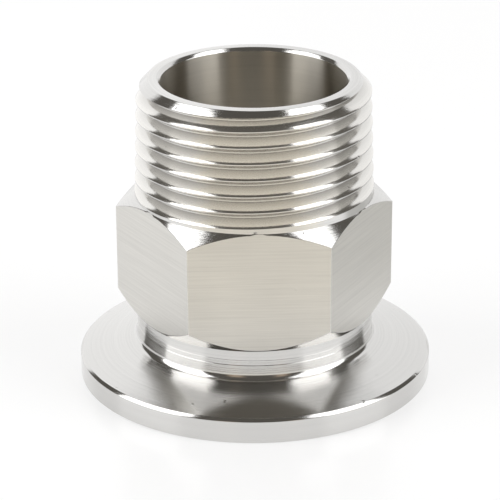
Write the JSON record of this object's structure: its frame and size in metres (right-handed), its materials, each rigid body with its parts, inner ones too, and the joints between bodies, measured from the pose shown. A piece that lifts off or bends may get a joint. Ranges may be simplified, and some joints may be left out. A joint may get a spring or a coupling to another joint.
{
  "type": "vacuum flange to taper thread adapter",
  "caption": "One-piece turned steel adapter: a clamped vacuum flange with a conical back, a neck, a bevelled hexagon and a male taper pipe thread, bored right through.",
  "frame": {"origin": "centre of the flange's sealing face", "axes": "+Z along the bore, from the flange to the threaded mouth; -Y towards one side of the hexagon, which is turned 2 degrees from it about Z"},
  "size_m": [0.04, 0.04, 0.035],
  "materials": {
    "stainless_steel": "turned and milled stainless steel, bright, with fine tool marks"
  },
  "bodies": {
    "root": {"adapter": "stainless_steel"}
  },
  "joints": []
}
